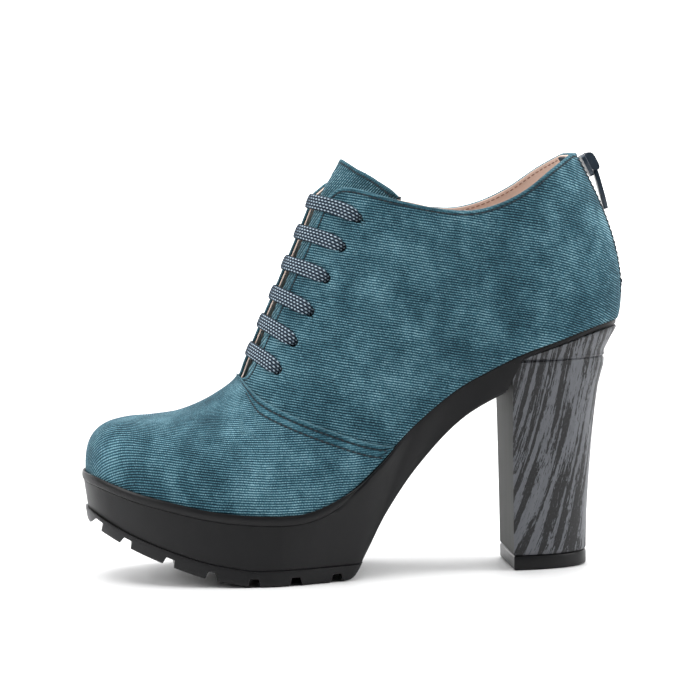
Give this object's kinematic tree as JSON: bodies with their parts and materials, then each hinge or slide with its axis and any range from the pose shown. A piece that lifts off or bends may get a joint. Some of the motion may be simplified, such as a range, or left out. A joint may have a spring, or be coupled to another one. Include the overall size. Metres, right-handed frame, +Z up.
{
  "type": "lace-up platform shoe",
  "caption": "Women's denim lace-up shoe that covers the ankle, with a back zip, a high flared block heel and a lugged platform sole under a high arch.",
  "frame": {"origin": "on the floor under the middle of the shoe's bounding box", "axes": "+X from the toe to the heel, +Y to the inner (medial) side, +Z up"},
  "size_m": [0.2274, 0.088, 0.1718],
  "materials": {
    "denim": "washed teal twill, matt",
    "sole_rubber": "black, satin",
    "heel_block": "grey wood-grain print, satin",
    "lining": "pinkish beige, matt",
    "lace": "flat braid, dark slate with pale flecks",
    "zip_cloth": "dark navy woven tape",
    "zip_metal": "dark navy enamel, satin"
  },
  "bodies": {
    "shoe": {"outsole": "sole_rubber", "platform_sole": "sole_rubber", "heel": "heel_block", "top_piece": "sole_rubber", "insole": "lining", "upper": "denim", "tongue": "denim", "zip_tape": "zip_cloth", "zip_chain": "zip_metal", "zip_slider": "zip_metal", "lace_bar_1": "lace", "lace_bar_2": "lace", "lace_bar_3": "lace", "lace_bar_4": "lace", "lace_bar_5": "lace", "lace_bar_6": "lace"},
    "pull": {"zip_pull": "zip_metal"}
  },
  "joints": [
    {"name": "pull_swing", "type": "hinge", "parent": "shoe", "child": "pull", "pos_m": [0.10193, 0.0001, 0.16918], "axis": [0, -1, 0], "range_deg": [0, 150]}
  ]
}
